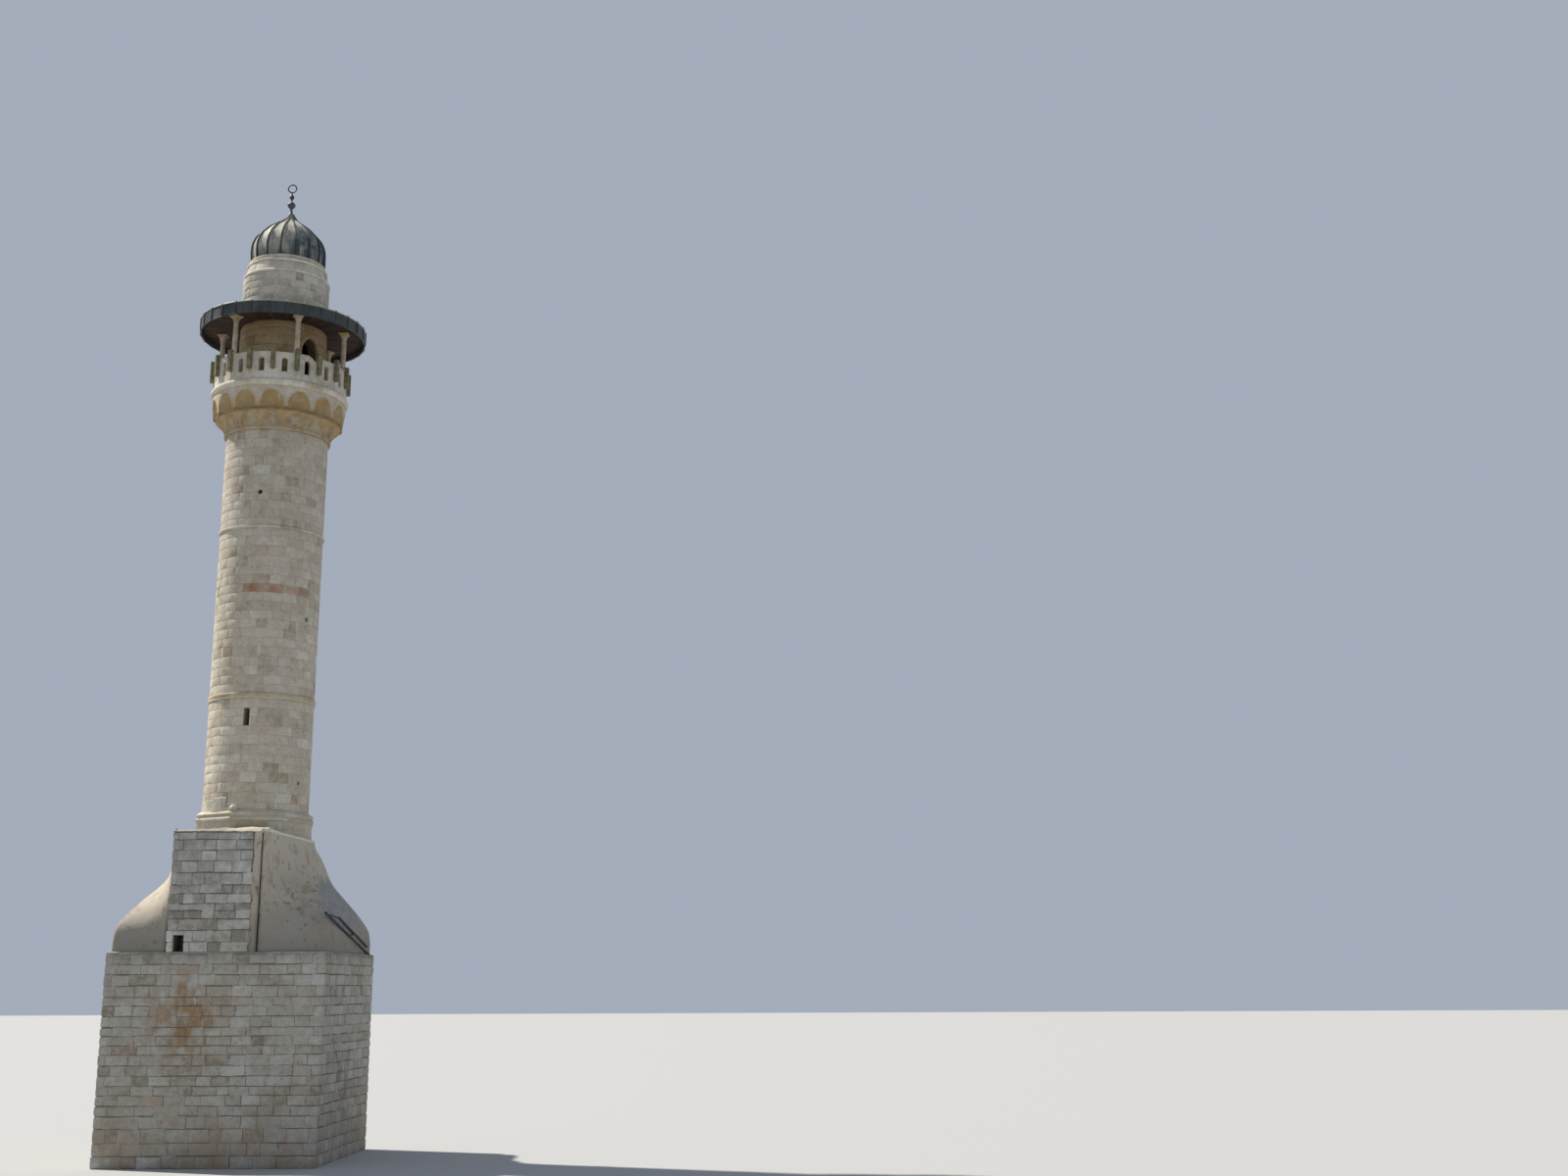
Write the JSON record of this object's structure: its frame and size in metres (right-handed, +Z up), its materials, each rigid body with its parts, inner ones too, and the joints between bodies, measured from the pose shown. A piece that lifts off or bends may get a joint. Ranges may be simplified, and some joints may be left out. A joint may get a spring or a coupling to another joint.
{
  "type": "minaret",
  "caption": "Round stone minaret on a square base, with a corbelled gallery, arched parapet, round canopy and a ribbed dome on a lantern.",
  "frame": {"origin": "on the ground at the axis of the shaft, the centre of the square base", "axes": "+Z up, -Y out of the front face of the base, which carries the raised masonry block"},
  "size_m": [5.7298, 5.72, 28.5],
  "materials": {
    "wall_stone": "matte",
    "shaft_stone": "matte",
    "pale_stone": "matte",
    "ochre_stone": "matte",
    "plaster": "matte",
    "sheet_metal": "satin",
    "boards": "matte",
    "dark_metal": "matte"
  },
  "bodies": {
    "root": {"base_block": "wall_stone", "base_tower": "wall_stone", "canopy_column_1": "pale_stone", "canopy_column_2": "pale_stone", "canopy_column_3": "pale_stone", "canopy_column_4": "pale_stone", "canopy_column_5": "pale_stone", "canopy_column_6": "pale_stone", "canopy_roof": "sheet_metal", "canopy_soffit": "boards", "corbel_lower": "ochre_stone", "corbel_upper": "ochre_stone", "dome": "sheet_metal", "drum_cornice": "shaft_stone", "drum_lower": "ochre_stone", "drum_upper": "shaft_stone", "finial_ring": "dark_metal", "finial_stem": "dark_metal", "gallery_floor": "pale_stone", "parapet_01": "pale_stone", "parapet_02": "pale_stone", "parapet_03": "pale_stone", "parapet_04": "pale_stone", "parapet_05": "pale_stone", "parapet_06": "pale_stone", "parapet_07": "pale_stone", "parapet_08": "pale_stone", "parapet_09": "pale_stone", "parapet_10": "pale_stone", "parapet_11": "pale_stone", "parapet_12": "pale_stone", "parapet_13": "pale_stone", "parapet_14": "pale_stone", "parapet_15": "pale_stone", "parapet_16": "pale_stone", "parapet_17": "pale_stone", "parapet_18": "pale_stone", "plinth_octagon": "shaft_stone", "shaft_lower": "shaft_stone", "shaft_middle": "shaft_stone", "shaft_upper": "shaft_stone", "slope_rails": "dark_metal", "string_course_lower": "pale_stone", "string_course_upper": "pale_stone", "transition": "plaster", "transition_coping": "pale_stone"}
  },
  "joints": []
}
